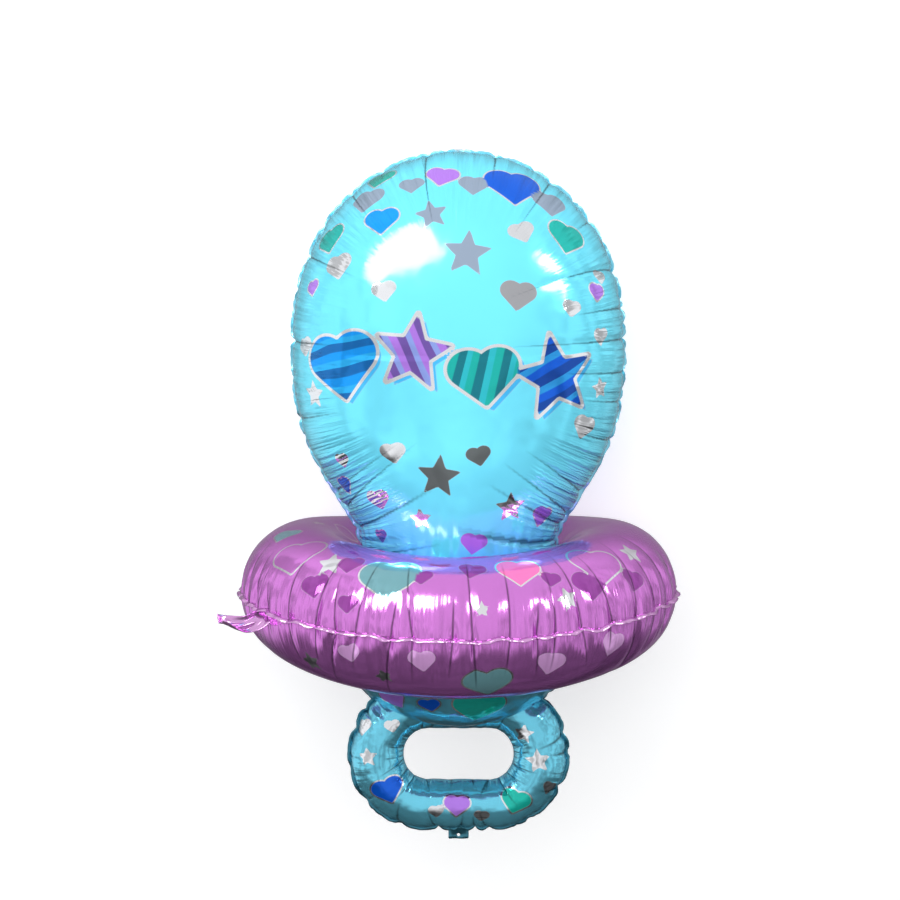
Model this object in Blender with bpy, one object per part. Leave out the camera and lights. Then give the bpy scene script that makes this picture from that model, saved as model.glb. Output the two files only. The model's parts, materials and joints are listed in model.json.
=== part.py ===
"""Foil balloon in the shape of a baby's pacifier, lying on its back.

Two sealed film envelopes make it up. The nipple balloon is the bulb, the neck, the
lobe, the handle loop and the hang tab in one. The ring balloon is slipped over the
neck as the mouth shield, and it carries its own filling tail.

Both are modelled upright in the balloon's own axes: x to the viewer's right, y along
the long axis towards the bulb, z towards the viewer, with the ring's centre at the
origin. An empty then lays the pair down on the ring's rim and the bulb's back.
Lengths are in metres.
"""
import math

import bmesh
import bpy
from mathutils import Matrix, Vector

# Bulb: the nipple, a rounded envelope that is widest at its centre
BULB_CENTRE = 0.309
BULB_HALF_WIDTH = 0.2085
BULB_HALF_DEPTH = 0.152
BULB_REACH_UP = 0.249
BULB_REACH_DOWN = 0.250
BULB_DEPTH_REACH_DOWN = 0.360
BULB_SQUARENESS = 2.25
BULB_FULLNESS = 2.6

# Neck: by how much it is wider and deeper than the ring's hole, which squeezes it
NECK_EXTRA_WIDTH = 0.016
NECK_EXTRA_DEPTH = 0.004
NECK_BLEND = 0.050

# Lobe: the short round end under the ring
LOBE_CENTRE = -0.066
LOBE_HALF_WIDTH = 0.142
LOBE_HALF_DEPTH = 0.112
LOBE_REACH = 0.100
LOBE_BLEND = 0.010

# Handle: a stuffed loop round a long slot, which starts just past the lobe
SLOT_LENGTH = 0.140
SLOT_HEIGHT = 0.067
SLOT_DROP = 0.005
HANDLE_SIDE_RADIUS = 0.0340
HANDLE_END_RADIUS = 0.0310

# Ring: the mouth shield, a stuffed hoop round the neck; its two sides are bent up towards
# the bulb by the saddle's height
RING_RADIUS = 0.193
RING_TUBE_RADIUS = 0.082
RING_TUBE_HEIGHT = 0.084
RING_SADDLE = 0.018
FIT_GAP = 0.0008

# Seams: the welded edge stands out as a ridge, and the film is gathered along it
SEAM_RIDGE = 0.0035
GATHER_PITCH = 0.034
GATHER_DEPTH = 0.0050
GATHER_SPREAD = 0.50
HANDLE_GATHER_SHARE = 0.5
RING_SHELTER = 0.020

# Hang tab at the handle's end, with its ribbon hole
TAB_WIDTH = 0.026
TAB_LENGTH = 0.015
TAB_ROOT = 0.008
TAB_THICKNESS = 0.002
TAB_HOLE_RADIUS = 0.002
TAB_HOLE_MARGIN = 0.005

# Filling tail of the ring, a flat strip of film that droops and twists a little
TAIL_LENGTH = 0.056
TAIL_ROOT = 0.020
TAIL_WIDTH = 0.024
TAIL_THICKNESS = 0.002
TAIL_ANGLE = math.radians(150)
TAIL_DROOP = 0.014
TAIL_TWIST = math.radians(32)

# Where the balloon lies, its film is pressed flat by this much
FLAT_SPOT_DEPTH = 0.003
STEEPEST_LIE = math.radians(45)

# Mesh fineness
BODY_STEPS = 36
HANDLE_STEPS = 12
RING_STEPS = 16
TAIL_ROWS = 8
HOLE_STEPS = 12
OUTLINE_SAMPLES = 2000
HALVINGS = 40

SMOOTH_ANGLE = math.radians(50)
CYAN = (0.28, 0.72, 0.84, 1.0)
PURPLE = (0.56, 0.24, 0.60, 1.0)


def smooth_max(a, b, reach):
    """The larger of two values, with a rounded change-over."""
    overlap = max(reach - abs(a - b), 0.0) / reach
    return max(a, b) + 0.25 * reach * overlap * overlap


def smooth_min(a, b, reach):
    return -smooth_max(-a, -b, reach)


def ease(x):
    """A smooth step from 0 to 1."""
    x = min(max(x, 0.0), 1.0)
    return x * x * (3.0 - 2.0 * x)


def arch(offset, reach, power=2.0):
    """Height of a rounded arch of unit height at an offset from its middle."""
    return math.sqrt(max(1.0 - abs(offset / reach) ** power, 0.0))


def signed_power(value, power):
    return math.copysign(abs(value) ** power, value)


def ring_hole():
    """The ring's inner radius."""
    return RING_RADIUS - RING_TUBE_RADIUS


def neck_half_width():
    return ring_hole() + NECK_EXTRA_WIDTH


def neck_half_depth():
    return ring_hole() + NECK_EXTRA_DEPTH


def ring_rise(turn):
    """How far the ring's tube is bent up towards the bulb at a turn about the long axis."""
    return RING_SADDLE * (0.5 - math.sin(turn) ** 2)


def ring_clearance(y, turn):
    """Largest radius about the long axis that stays clear of the ring at a height and a turn."""
    tube = RING_TUBE_RADIUS + FIT_GAP
    height = RING_TUBE_HEIGHT + FIT_GAP
    above = y - ring_rise(turn)
    if abs(above) >= height:
        return math.inf
    return RING_RADIUS - tube * arch(above, height)


def body_half_size(y, bulb, reach_down, neck, lobe, turn):
    """Half width or half depth of the nipple balloon's body at a height, for that turn."""
    reach = BULB_REACH_UP if y > BULB_CENTRE else reach_down
    size = bulb * arch(y - BULB_CENTRE, reach, BULB_SQUARENESS)
    lobe_size = lobe * arch(y - LOBE_CENTRE, LOBE_REACH)
    if y < BULB_CENTRE:
        size = smooth_max(size, neck, NECK_BLEND)
    if y < LOBE_CENTRE:
        size = lobe_size
    else:
        size = smooth_max(size, lobe_size, LOBE_BLEND)
    return smooth_min(size, ring_clearance(y, turn), LOBE_BLEND)


def body_half_width(y):
    return body_half_size(y, BULB_HALF_WIDTH, BULB_REACH_DOWN, neck_half_width(), LOBE_HALF_WIDTH, 0.0)


def body_half_depth(y):
    return body_half_size(y, BULB_HALF_DEPTH, BULB_DEPTH_REACH_DOWN, neck_half_depth(), LOBE_HALF_DEPTH,
                          math.pi / 2)


def body_bottom():
    return LOBE_CENTRE - LOBE_REACH


def body_top():
    return BULB_CENTRE + BULB_REACH_UP


def handle_centre():
    return body_bottom() - SLOT_DROP - SLOT_HEIGHT / 2


def handle_bottom():
    return handle_centre() - SLOT_HEIGHT / 2 - 2 * HANDLE_END_RADIUS


def even_heights():
    """Heights of the body's rows, spaced evenly along its outline, two to a gather."""
    span = body_top() - body_bottom()
    heights = [body_bottom() + span * 0.5 * (1 - math.cos(math.pi * k / OUTLINE_SAMPLES))
               for k in range(OUTLINE_SAMPLES + 1)]
    walked = [0.0]
    for low, high in zip(heights, heights[1:]):
        walked.append(walked[-1] + math.hypot(high - low, body_half_width(high) - body_half_width(low)))
    rows = 2 * round(walked[-1] / GATHER_PITCH)
    picked = []
    at = 0
    for row in range(1, rows):
        target = walked[-1] * row / rows
        while walked[at] < target:
            at += 1
        picked.append(heights[at])
    return picked


def seam_relief(from_seam, row, share=1.0, shelter=1.0):
    """How far the film stands out near a seam: a ridge on it, and gathers in each second row."""
    ridge = SEAM_RIDGE if abs(from_seam) < 1e-6 else 0.0
    fade = math.exp(-(from_seam / GATHER_SPREAD) ** 2)
    gather = GATHER_DEPTH * fade if row % 2 else 0.0
    return shelter * share * ridge - share * gather


def body_rows():
    """Cross-sections of bulb, neck and lobe, from the lobe's end to the bulb's tip."""
    rows = []
    for index, y in enumerate(even_heights()):
        width = body_half_width(y)
        depth = body_half_depth(y)
        fullness = 2.0 + (BULB_FULLNESS - 2.0) * ease((y - RING_TUBE_HEIGHT) / (BULB_CENTRE - RING_TUBE_HEIGHT))
        shelter = ease((ring_clearance(y, 0.0) - width) / RING_SHELTER)
        row = []
        for step in range(BODY_STEPS):
            angle = 2 * math.pi * step / BODY_STEPS
            from_seam = math.asin(math.sin(angle))
            relief = seam_relief(from_seam, index, min(1.0, width / neck_half_width()), shelter)
            x = (width + relief) * signed_power(math.cos(angle), 2.0 / fullness)
            z = depth * math.sin(angle)
            row.append(Vector((x, y, z)))
        rows.append(row)
    return rows


def handle_rows():
    """Cross-sections of the handle's tube round the slot, as a closed run."""
    half_length = SLOT_LENGTH / 2 + HANDLE_SIDE_RADIUS
    end_radius = SLOT_HEIGHT / 2 + HANDLE_END_RADIUS
    straight = half_length - end_radius
    quarter = straight + math.pi * end_radius / 2
    count = 2 * round(4 * quarter / GATHER_PITCH)
    rows = []
    for index in range(count):
        walked = 4 * quarter * index / count
        side, along = divmod(walked, 2 * quarter)
        mirror = 1.0 if side == 0 else -1.0
        if along < math.pi * end_radius:
            turn = along / end_radius - math.pi / 2
            centre = Vector((straight + end_radius * math.cos(turn), end_radius * math.sin(turn), 0))
            outward = Vector((math.cos(turn), math.sin(turn), 0))
        else:
            back = along - math.pi * end_radius
            centre = Vector((straight - back, end_radius, 0))
            outward = Vector((0, 1, 0))
        centre = centre * mirror + Vector((0, handle_centre(), 0))
        outward = outward * mirror
        radius = HANDLE_END_RADIUS + (HANDLE_SIDE_RADIUS - HANDLE_END_RADIUS) * outward.x ** 2
        row = []
        for step in range(HANDLE_STEPS):
            angle = 2 * math.pi * step / HANDLE_STEPS
            relief = seam_relief(math.asin(math.sin(angle)), index, HANDLE_GATHER_SHARE)
            reach = radius + relief if math.cos(angle) > 0 else radius
            row.append(centre + outward * reach * math.cos(angle) + Vector((0, 0, radius * math.sin(angle))))
        rows.append(row)
    return rows


def ring_rows():
    """Cross-sections of the ring's tube, as a closed run round the long axis."""
    rim = RING_RADIUS + RING_TUBE_RADIUS
    count = 2 * round(2 * math.pi * rim / GATHER_PITCH / 1.2)
    rows = []
    for index in range(count):
        turn = 2 * math.pi * index / count
        outward = Vector((math.cos(turn), 0, math.sin(turn)))
        row = []
        for step in range(RING_STEPS):
            angle = 2 * math.pi * step / RING_STEPS
            from_seam = angle if angle < math.pi else 2 * math.pi - angle
            reach = RING_TUBE_RADIUS + seam_relief(from_seam, index)
            y = ring_rise(turn) + RING_TUBE_HEIGHT * math.sin(angle)
            row.append(outward * (RING_RADIUS + reach * math.cos(angle)) + Vector((0, y, 0)))
        rows.append(row)
    return rows


def tail_rows():
    """Cross-sections of the flat filling tail, from inside the ring's rim to its free end."""
    outward = Vector((math.cos(TAIL_ANGLE), 0, math.sin(TAIL_ANGLE)))
    across = Vector((-math.sin(TAIL_ANGLE), 0, math.cos(TAIL_ANGLE)))
    up = Vector((0, 1, 0))
    start = RING_RADIUS + RING_TUBE_RADIUS - TAIL_ROOT
    rows = []
    for index in range(TAIL_ROWS + 1):
        along = index / TAIL_ROWS
        height = ring_rise(TAIL_ANGLE) - TAIL_DROOP * along ** 2
        middle = outward * (start + (TAIL_ROOT + TAIL_LENGTH) * along) + up * height
        twist = TAIL_TWIST * along
        wide = across * math.cos(twist) + up * math.sin(twist)
        thick = up * math.cos(twist) - across * math.sin(twist)
        corners = ((1, 1), (-1, 1), (-1, -1), (1, -1))
        rows.append([middle + wide * a * TAIL_WIDTH / 2 + thick * b * TAIL_THICKNESS / 2 for a, b in corners])
    return rows


def loft(name, rows, closed, tips=None):
    """A closed mesh object through cross-sections; its ends meet, are filled, or run to tips."""
    model = bmesh.new()
    loops = [[model.verts.new(point) for point in row] for row in rows]
    pairs = list(zip(loops, loops[1:]))
    if closed:
        pairs.append((loops[-1], loops[0]))
    for one, other in pairs:
        for index in range(len(one)):
            after = (index + 1) % len(one)
            model.faces.new((one[index], one[after], other[after], other[index]))
    if tips:
        for loop, tip in zip((loops[0], loops[-1]), tips):
            end = model.verts.new(tip)
            for index in range(len(loop)):
                model.faces.new((loop[index], loop[(index + 1) % len(loop)], end))
    elif not closed:
        model.faces.new(loops[0])
        model.faces.new(loops[-1])
    bmesh.ops.triangulate(model, faces=model.faces[:])
    bmesh.ops.recalc_face_normals(model, faces=model.faces[:])
    return mesh_object(name, model)


def mesh_object(name, model):
    mesh = bpy.data.meshes.new(name)
    model.to_mesh(mesh)
    model.free()
    mesh.shade_smooth()
    mesh.set_sharp_from_angle(angle=SMOOTH_ANGLE)
    thing = bpy.data.objects.new(name, mesh)
    bpy.context.scene.collection.objects.link(thing)
    return thing


def block(name, size, centre):
    model = bmesh.new()
    bmesh.ops.create_cube(model, size=1.0, matrix=Matrix.Translation(centre) @ Matrix.Diagonal((*size, 1.0)))
    return mesh_object(name, model)


def hang_tab():
    bottom = handle_bottom()
    size = (TAB_WIDTH, TAB_LENGTH + TAB_ROOT, TAB_THICKNESS)
    return block("hang_tab", size, Vector((0, bottom + TAB_ROOT - size[1] / 2, 0)))


def tab_hole():
    model = bmesh.new()
    place = Vector((0, handle_bottom() - TAB_LENGTH + TAB_HOLE_MARGIN, 0))
    bmesh.ops.create_cone(model, cap_ends=True, segments=HOLE_STEPS, radius1=TAB_HOLE_RADIUS,
                          radius2=TAB_HOLE_RADIUS, depth=4 * TAB_THICKNESS, matrix=Matrix.Translation(place))
    return mesh_object("tab_hole", model)


def combine(thing, tool, operation):
    """Adds a helper's solid to an object, or cuts it away, and hides the helper."""
    modifier = thing.modifiers.new(tool.name, "BOOLEAN")
    modifier.operation = operation
    modifier.solver = "EXACT"
    modifier.object = tool
    tool.hide_render = True
    tool.display_type = "WIRE"


def foil(name, colour):
    material = bpy.data.materials.new(name)
    material.use_nodes = True
    shader = material.node_tree.nodes["Principled BSDF"]
    shader.inputs["Base Color"].default_value = colour
    shader.inputs["Metallic"].default_value = 0.7
    shader.inputs["Roughness"].default_value = 0.18
    return material


def lie_down(tilt):
    """Turns the upright balloon onto its back, bulb down by the tilt."""
    return Matrix.Rotation(-tilt, 3, "X")


def lowest(things, tilt):
    turn = lie_down(tilt)
    return min((turn @ vertex.co).z for thing in things for vertex in thing.data.vertices)


def resting_tilt(ring, nipple):
    """The tilt at which the ring's rim and the bulb's back touch one floor."""
    level, steep = 0.0, STEEPEST_LIE
    for _ in range(HALVINGS):
        tilt = (level + steep) / 2
        if lowest([ring], tilt) < lowest([nipple], tilt):
            level = tilt
        else:
            steep = tilt
    return (level + steep) / 2


def build():
    for thing in list(bpy.data.objects):
        bpy.data.objects.remove(thing)

    nipple = loft("nipple_balloon", body_rows(), False, (Vector((0, body_bottom(), 0)), Vector((0, body_top(), 0))))
    handle = loft("handle_loop", handle_rows(), True)
    tab = hang_tab()
    hole = tab_hole()
    ring = loft("ring_balloon", ring_rows(), True)
    tail = loft("filling_tail", tail_rows(), False)
    solids = [nipple, handle, tab, ring, tail]

    nipple.data.materials.append(foil("cyan_foil", CYAN))
    ring.data.materials.append(foil("purple_foil", PURPLE))

    tilt = resting_tilt(ring, nipple)
    turn = lie_down(tilt)
    points = [turn @ vertex.co for thing in solids for vertex in thing.data.vertices]
    centre_x = (max(p.x for p in points) + min(p.x for p in points)) / 2
    centre_y = (max(p.y for p in points) + min(p.y for p in points)) / 2
    floor = min(p.z for p in points) + FLAT_SPOT_DEPTH

    lying = bpy.data.objects.new("lying", None)
    bpy.context.scene.collection.objects.link(lying)
    lying.rotation_euler = turn.to_euler()
    lying.location = (-centre_x, -centre_y, -floor)
    for thing in solids + [hole]:
        thing.parent = lying

    reach = 4 * (body_top() - handle_bottom())
    below = block("below_floor", (reach, reach, reach), Vector((0, 0, -reach / 2)))

    combine(nipple, handle, "UNION")
    combine(nipple, tab, "UNION")
    combine(nipple, hole, "DIFFERENCE")
    combine(nipple, below, "DIFFERENCE")
    combine(ring, tail, "UNION")
    combine(ring, below, "DIFFERENCE")


build()
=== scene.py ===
"""Looks of the pacifier foil balloon: creased film, welded edges, prints, floor and light.

Shapes are built upright in the balloon's own axes, as the solids are: x to the viewer's
right, y along the long axis towards the bulb, z towards the viewer, with the ring's centre
at the origin. One matrix, read from the hang tab's mount, lays them down on the floor.
Lengths are in metres. Places read from the photograph are pixels of its 900 x 900 frame.
"""
import json
import math
from collections import namedtuple

import bmesh
import bpy
import numpy as np
from mathutils import Matrix, Vector, kdtree


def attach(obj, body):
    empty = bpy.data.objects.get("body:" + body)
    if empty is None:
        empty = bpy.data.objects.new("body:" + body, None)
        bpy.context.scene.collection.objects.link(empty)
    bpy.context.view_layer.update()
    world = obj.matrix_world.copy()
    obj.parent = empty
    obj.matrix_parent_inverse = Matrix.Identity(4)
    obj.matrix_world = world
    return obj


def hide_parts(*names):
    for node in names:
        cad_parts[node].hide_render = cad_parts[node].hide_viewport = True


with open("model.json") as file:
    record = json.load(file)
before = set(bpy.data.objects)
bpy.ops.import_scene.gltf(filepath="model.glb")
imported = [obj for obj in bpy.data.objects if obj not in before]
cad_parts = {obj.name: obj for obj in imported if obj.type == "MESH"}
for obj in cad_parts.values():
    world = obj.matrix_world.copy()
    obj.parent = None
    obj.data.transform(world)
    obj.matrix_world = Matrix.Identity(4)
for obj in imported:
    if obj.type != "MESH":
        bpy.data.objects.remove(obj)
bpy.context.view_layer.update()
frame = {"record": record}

# Bulb
BULB_CENTRE = 0.309
BULB_HALF_WIDTH = 0.2085
BULB_HALF_DEPTH = 0.152
BULB_REACH_UP = 0.249
BULB_REACH_DOWN = 0.250
BULB_DEPTH_REACH_DOWN = 0.360
BULB_SQUARENESS = 2.25
BULB_FULLNESS = 2.6

# Neck and lobe
NECK_EXTRA_WIDTH = 0.016
NECK_EXTRA_DEPTH = 0.004
NECK_BLEND = 0.050
LOBE_CENTRE = -0.066
LOBE_HALF_WIDTH = 0.142
LOBE_HALF_DEPTH = 0.112
LOBE_REACH = 0.100
LOBE_BLEND = 0.010

# Handle and hang tab
SLOT_LENGTH = 0.140
SLOT_HEIGHT = 0.067
SLOT_DROP = 0.005
HANDLE_SIDE_RADIUS = 0.0340
HANDLE_END_RADIUS = 0.0310
TAB_WIDTH = 0.026
TAB_LENGTH = 0.015
TAB_ROOT = 0.008
TAB_THICKNESS = 0.0010
TAB_HOLE_RADIUS = 0.002
TAB_HOLE_MARGIN = 0.005
TAB_WAVE = 0.0008
TAB_WAVE_LENGTH = 0.017
JOIN_HALF_WIDTH = 0.075
JOIN_FLANGE_WIDTH = 0.001

# Ring and its filling tail
RING_RADIUS = 0.193
RING_TUBE_RADIUS = 0.082
RING_TUBE_HEIGHT = 0.084
RING_SADDLE = 0.018
FIT_GAP = 0.0008
TAIL_LENGTH = 0.056
TAIL_ROOT = 0.020
TAIL_WIDTH = 0.024
TAIL_THICKNESS = 0.0008
TAIL_ANGLE = math.radians(150)
TAIL_DROOP = 0.012
TAIL_TWIST = math.radians(12)
TAIL_SAG = 0.014
TAIL_ROLL = math.radians(58)
TAIL_FOLD = 0.0012
TAIL_CURL = 0.0075

# The hang tab's mount: how far past the handle's end, and how high on the tab
TAB_MOUNT_DROP = 0.004
TAB_MOUNT_HEIGHT = 0.001

# Camera of the photograph
CAMERA_DISTANCE = 3.0
CAMERA_LIFT = math.radians(9)
METRES_PER_PIXEL = 0.00127
PHOTO_SIZE = 900
RING_CENTRE_PIXEL = (458.5, 595.0)
SENSOR_WIDTH = 36.0

# Mesh fineness
FILM_PITCH = 0.0027
FRONT_STEPS = 150
BACK_STEPS = 130
RING_FILM_ROWS = 560
RING_FILM_STEPS = 150
HANDLE_FILM_PITCH = 0.0026
HANDLE_FILM_STEPS = 56
OUTLINE_SAMPLES = 6000
SEAM_STRIDE = 6
TURN_SAMPLES = 4000
TAB_POINTS = 48
TAIL_ROWS = 60
TAIL_COLUMNS = 24

# Welded edges
FLANGE_WIDTH = 0.0045
BULB_FLANGE_WIDTH = 0.0030
RING_FLANGE_WIDTH = 0.0060
FLANGE_ROOT = 0.0012
FLANGE_THICKNESS = 0.0007
RING_FLANGE_DROOP = math.radians(38)

# The neck's sides: the film is pressed flat along them, into a wider welded edge
NECK_SIDE_CENTRE = 0.120
NECK_SIDE_REACH = 0.045
NECK_TUCK = 0.0065
NECK_TUCK_REACH = 0.018
NECK_CALM_REACH = 0.013

# Painted shade lines darken the colour along creases deeper than this, out to this distance
FOLD_SHADE_DEPTH = 0.0024
FOLD_SHADE_REACH = 0.0065
FOLD_SHADE_FULL_DEPTH = 0.004

# Puckers along a seam, in kinds: spacing, length, depth, and how far apart the creases of
# the two sheets may be, as a share of the spacing
BULB_PUCKERS = ((0.036, 0.042, 0.0036, 0.02), (0.012, 0.018, 0.0012, 0.1))
NECK_PUCKERS = ((0.013, 0.085, 0.0017, 0.1),)
NECK_PUCKER_HEIGHTS = (0.075, 0.165)
HANDLE_PUCKERS = ((0.027, 0.046, 0.0052, 0.02), (0.010, 0.020, 0.0012, 0.1))
SLOT_PUCKERS = ((0.024, 0.044, 0.0046, 0.1),)
RING_PUCKERS = ((0.035, 0.095, 0.0080, 0.01), (0.016, 0.032, 0.0015, 0.1))
RING_HOLE_PUCKERS = ((0.048, 0.085, 0.0042, 0.1),)
TAIL_CREASE_PITCH = 0.016

# Swells, the film's faint unevenness: height, size and seed
SWELL_WAVES = 9
BODY_SWELL = (0.0009, 0.085, 3)
HANDLE_SWELL = (0.0008, 0.045, 8)
RING_SWELL = (0.0012, 0.10, 6)

# Fine folds where the ring's hole squeezes the neck
SQUEEZE_DEPTH = 0.0009
SQUEEZE_CENTRE = 0.085
SQUEEZE_REACH = 0.032
SQUEEZE_FOLDS = 37

# Waves of the welded seams out of their plane, and the crinkle of their free rims
THIRDS = (1 / 3, 1 / 3, 1 / 3)
BODY_SEAM_WAVE = 0.0030
BODY_SEAM_LENGTHS = (0.061, 0.037, 0.083)
HANDLE_SEAM_WAVE = 0.0022
RING_SEAM_WAVE = 0.0026
BODY_RIM_WAVE = 0.0010
RIM_WAVE = 0.0009
RIM_LENGTHS = (0.021, 0.0135, 0.034)
RIM_SHARES = (1.0, 0.6, 0.8)

LONG = np.array((0.0, 1.0, 0.0))
FRONT = np.array((0.0, 0.0, 1.0))


# Smooth helpers on arrays


def smooth_max(a, b, reach):
    """The larger of two values, with a rounded change-over."""
    overlap = np.maximum(reach - np.abs(a - b), 0.0) / reach
    return np.maximum(a, b) + 0.25 * reach * overlap * overlap


def smooth_min(a, b, reach):
    return -smooth_max(-a, -b, reach)


def ease(x):
    """A smooth step from 0 to 1."""
    x = np.clip(x, 0.0, 1.0)
    return x * x * (3.0 - 2.0 * x)


def arch(offset, reach, power=2.0):
    """Height of a rounded arch of unit height at an offset from its middle."""
    return np.sqrt(np.maximum(1.0 - np.abs(offset / reach) ** power, 0.0))


def signed_power(value, power):
    return np.sign(value) * np.abs(value) ** power


def unit(vectors):
    return vectors / np.linalg.norm(vectors, axis=-1, keepdims=True)


# The balloon's form


def ring_rise(turn):
    """How far the ring's tube is bent up towards the bulb at a turn about the long axis."""
    return RING_SADDLE * (0.5 - np.sin(turn) ** 2)


def ring_clearance(y, turn):
    """Largest radius about the long axis that stays clear of the ring."""
    above = y - ring_rise(turn)
    height = RING_TUBE_HEIGHT + FIT_GAP
    clear = RING_RADIUS - (RING_TUBE_RADIUS + FIT_GAP) * arch(above, height)
    return np.where(np.abs(above) < height, clear, 1.0)


def body_half_size(y, bulb, reach_down, neck, lobe, turn):
    """Half width or half depth of bulb, neck and lobe at heights y."""
    reach = np.where(y > BULB_CENTRE, BULB_REACH_UP, reach_down)
    size = bulb * arch(y - BULB_CENTRE, reach, BULB_SQUARENESS)
    lobe_size = lobe * arch(y - LOBE_CENTRE, LOBE_REACH)
    size = np.where(y < BULB_CENTRE, smooth_max(size, neck, NECK_BLEND), size)
    size = np.where(y < LOBE_CENTRE, lobe_size, smooth_max(size, lobe_size, LOBE_BLEND))
    return smooth_min(size, ring_clearance(y, turn), LOBE_BLEND)


def body_half_width(y):
    neck = RING_RADIUS - RING_TUBE_RADIUS + NECK_EXTRA_WIDTH
    return body_half_size(y, BULB_HALF_WIDTH, BULB_REACH_DOWN, neck, LOBE_HALF_WIDTH, 0.0)


def body_half_depth(y):
    neck = RING_RADIUS - RING_TUBE_RADIUS + NECK_EXTRA_DEPTH
    return body_half_size(y, BULB_HALF_DEPTH, BULB_DEPTH_REACH_DOWN, neck, LOBE_HALF_DEPTH, math.pi / 2)


BODY_TOP = BULB_CENTRE + BULB_REACH_UP
BODY_BOTTOM = LOBE_CENTRE - LOBE_REACH
HANDLE_CENTRE = BODY_BOTTOM - SLOT_DROP - SLOT_HEIGHT / 2
HANDLE_BOTTOM = HANDLE_CENTRE - SLOT_HEIGHT / 2 - 2 * HANDLE_END_RADIUS


def lying_matrix():
    """Turns and moves the upright balloon to where the frame has it lying."""
    tab = next(m for m in frame["record"]["mounts"] if m["name"] == "hang_tab")
    tilt = math.atan2(tab["axis"][1], tab["axis"][2])
    turn = Matrix.Rotation(-tilt, 4, "X")
    upright = Vector((0.0, HANDLE_BOTTOM - TAB_MOUNT_DROP, TAB_MOUNT_HEIGHT))
    return Matrix.Translation(Vector(tab["pos_m"]) - turn @ upright) @ turn


LYING = lying_matrix()
LYING_TURN = np.array(LYING.to_3x3())
LYING_PLACE = np.array(LYING.translation)


def lie_down(points):
    """Upright points to their places on the floor, which presses what reaches below it flat."""
    world = points @ LYING_TURN.T + LYING_PLACE
    world[:, 2] = np.maximum(world[:, 2], 0.0)
    return world


# Camera


def camera_place():
    """Camera position, and the photo's right, up and towards-the-camera directions, upright."""
    towards = np.array((0.0, math.sin(CAMERA_LIFT), math.cos(CAMERA_LIFT)))
    place = CAMERA_DISTANCE * towards
    middle = PHOTO_SIZE / 2
    right_shift = (middle - RING_CENTRE_PIXEL[0]) * METRES_PER_PIXEL
    up_shift = (RING_CENTRE_PIXEL[1] - middle) * METRES_PER_PIXEL
    up = np.array((0.0, math.cos(CAMERA_LIFT), -math.sin(CAMERA_LIFT)))
    aim = np.array((right_shift, 0.0, 0.0)) + up_shift * up
    back = unit(place - aim)
    right = unit(np.cross(up, back))
    return place, right, np.cross(back, right), back


CAMERA_AT, CAMERA_RIGHT, CAMERA_UP, CAMERA_BACK = camera_place()
FOCAL_LENGTH = SENSOR_WIDTH * CAMERA_DISTANCE / (PHOTO_SIZE * METRES_PER_PIXEL)


def add_object(name, data):
    thing = bpy.data.objects.new(name, data)
    bpy.context.scene.collection.objects.link(thing)
    return thing


def make_camera():
    data = bpy.data.cameras.new("photo_camera")
    data.lens = FOCAL_LENGTH
    data.sensor_width = SENSOR_WIDTH
    data.sensor_fit = "AUTO"
    camera = add_object("photo_camera", data)
    axes = Matrix(np.column_stack([CAMERA_RIGHT, CAMERA_UP, CAMERA_BACK]).tolist()).to_4x4()
    camera.matrix_world = LYING @ Matrix.Translation(Vector(CAMERA_AT)) @ axes
    bpy.context.scene.camera = camera


def photo_pixels(points):
    """Where upright points appear in the photograph."""
    seen = points - CAMERA_AT
    depth = -(seen @ CAMERA_BACK)
    scale = FOCAL_LENGTH / SENSOR_WIDTH * PHOTO_SIZE / depth
    u = PHOTO_SIZE / 2 + (seen @ CAMERA_RIGHT) * scale
    v = PHOTO_SIZE / 2 - (seen @ CAMERA_UP) * scale
    return np.stack([u, v], 1)


# Film surfaces as grids of rows and steps


Crease = namedtuple("Crease", "at sheet length depth half_width slant")


def grid_faces(rows, steps, closed_rows):
    """Quads of a grid whose steps close round, and whose rows may close too."""
    last = rows if closed_rows else rows - 1
    row, step = np.meshgrid(np.arange(last), np.arange(steps), indexing="ij")
    after_row = (row + 1) % rows
    after_step = (step + 1) % steps
    corners = ((row, step), (row, after_step), (after_row, after_step), (after_row, step))
    return np.stack([a * steps + b for a, b in corners], 2).reshape(-1, 4)


def grid_normals(points, closed_rows):
    """Outward normals of a grid of points (rows, steps, 3) by differences along it."""
    across = np.roll(points, -1, 1) - np.roll(points, 1, 1)
    if closed_rows:
        along = np.roll(points, -1, 0) - np.roll(points, 1, 0)
    else:
        along = np.gradient(points, axis=0)
    normal = np.cross(along, across)
    return normal / np.maximum(np.linalg.norm(normal, axis=2, keepdims=True), 1e-12)


def outline_table():
    """Heights along the body's outline and the arc length walked to each."""
    share = 0.5 * (1 - np.cos(np.linspace(0.0, math.pi, OUTLINE_SAMPLES)))
    heights = BODY_BOTTOM + (BODY_TOP - BODY_BOTTOM) * share
    widths = body_half_width(heights)
    steps = np.hypot(np.diff(heights), np.diff(widths))
    return heights, widths, np.concatenate([[0.0], np.cumsum(steps)])


OUTLINE_Y, OUTLINE_X, OUTLINE_S = outline_table()
SPLIT_S = float(np.interp(0.0, OUTLINE_Y, OUTLINE_S))


def even_turns(steps, start, end, fullness):
    """Turns round a cross-section that space its points evenly where the bulb is widest."""
    fine = np.linspace(start, end, TURN_SAMPLES)
    x = BULB_HALF_WIDTH * signed_power(np.cos(fine), 2.0 / fullness)
    z = BULB_HALF_DEPTH * np.sin(fine)
    walked = np.concatenate([[0.0], np.cumsum(np.hypot(np.diff(x), np.diff(z)))])
    return np.interp(np.arange(steps) * walked[-1] / steps, walked, fine)


def point_tree(points):
    tree = kdtree.KDTree(len(points))
    for index, point in enumerate(points):
        tree.insert(point, index)
    tree.balance()
    return tree


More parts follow.
